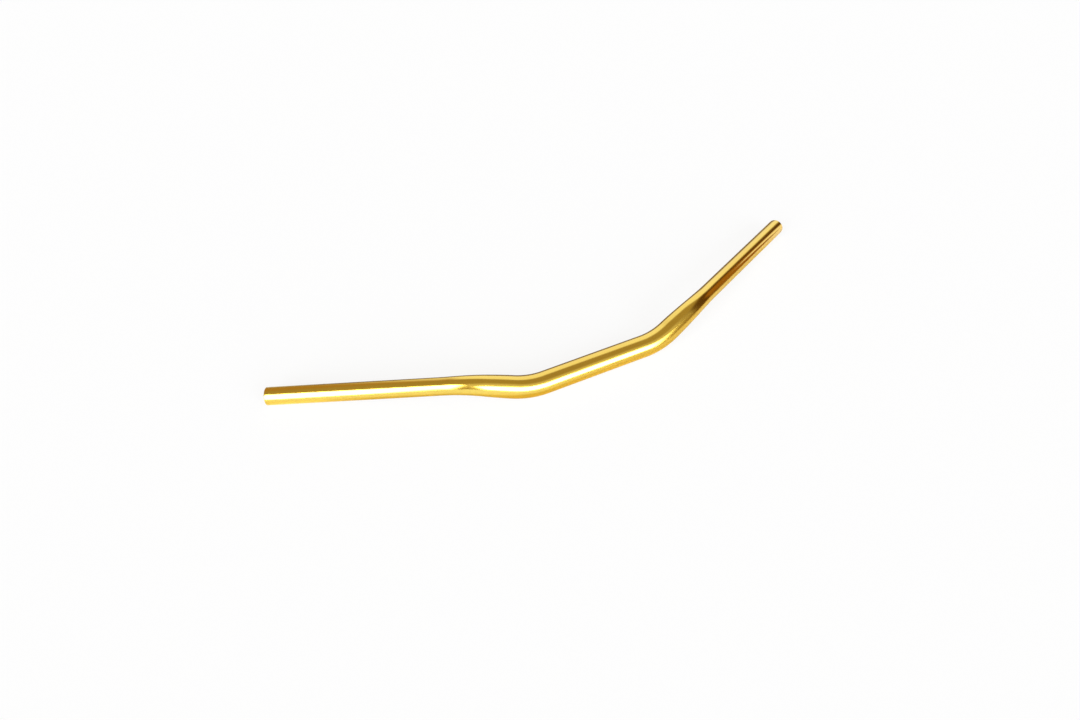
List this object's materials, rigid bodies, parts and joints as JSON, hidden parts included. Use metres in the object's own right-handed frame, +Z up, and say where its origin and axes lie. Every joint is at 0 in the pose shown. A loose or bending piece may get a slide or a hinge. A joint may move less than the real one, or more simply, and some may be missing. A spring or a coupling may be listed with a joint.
{
  "type": "tapered handlebar",
  "caption": "Hollow tapered motorbike handlebar: a bent tube, thick in the middle for the clamps and drawn down to thin swept-back grip ends.",
  "frame": {"origin": "middle of the clamp zone, on the tube's axis", "axes": "+X along the clamp zone, +Y the way the grips sweep back, +Z up with the bar lying at rest on its clamp zone and both end rims"},
  "size_m": [0.7734, 0.1562, 0.0435],
  "materials": {
    "gold_anodised": "polished gold anodised"
  },
  "bodies": {
    "root": {"handlebar": "gold_anodised"}
  },
  "joints": []
}
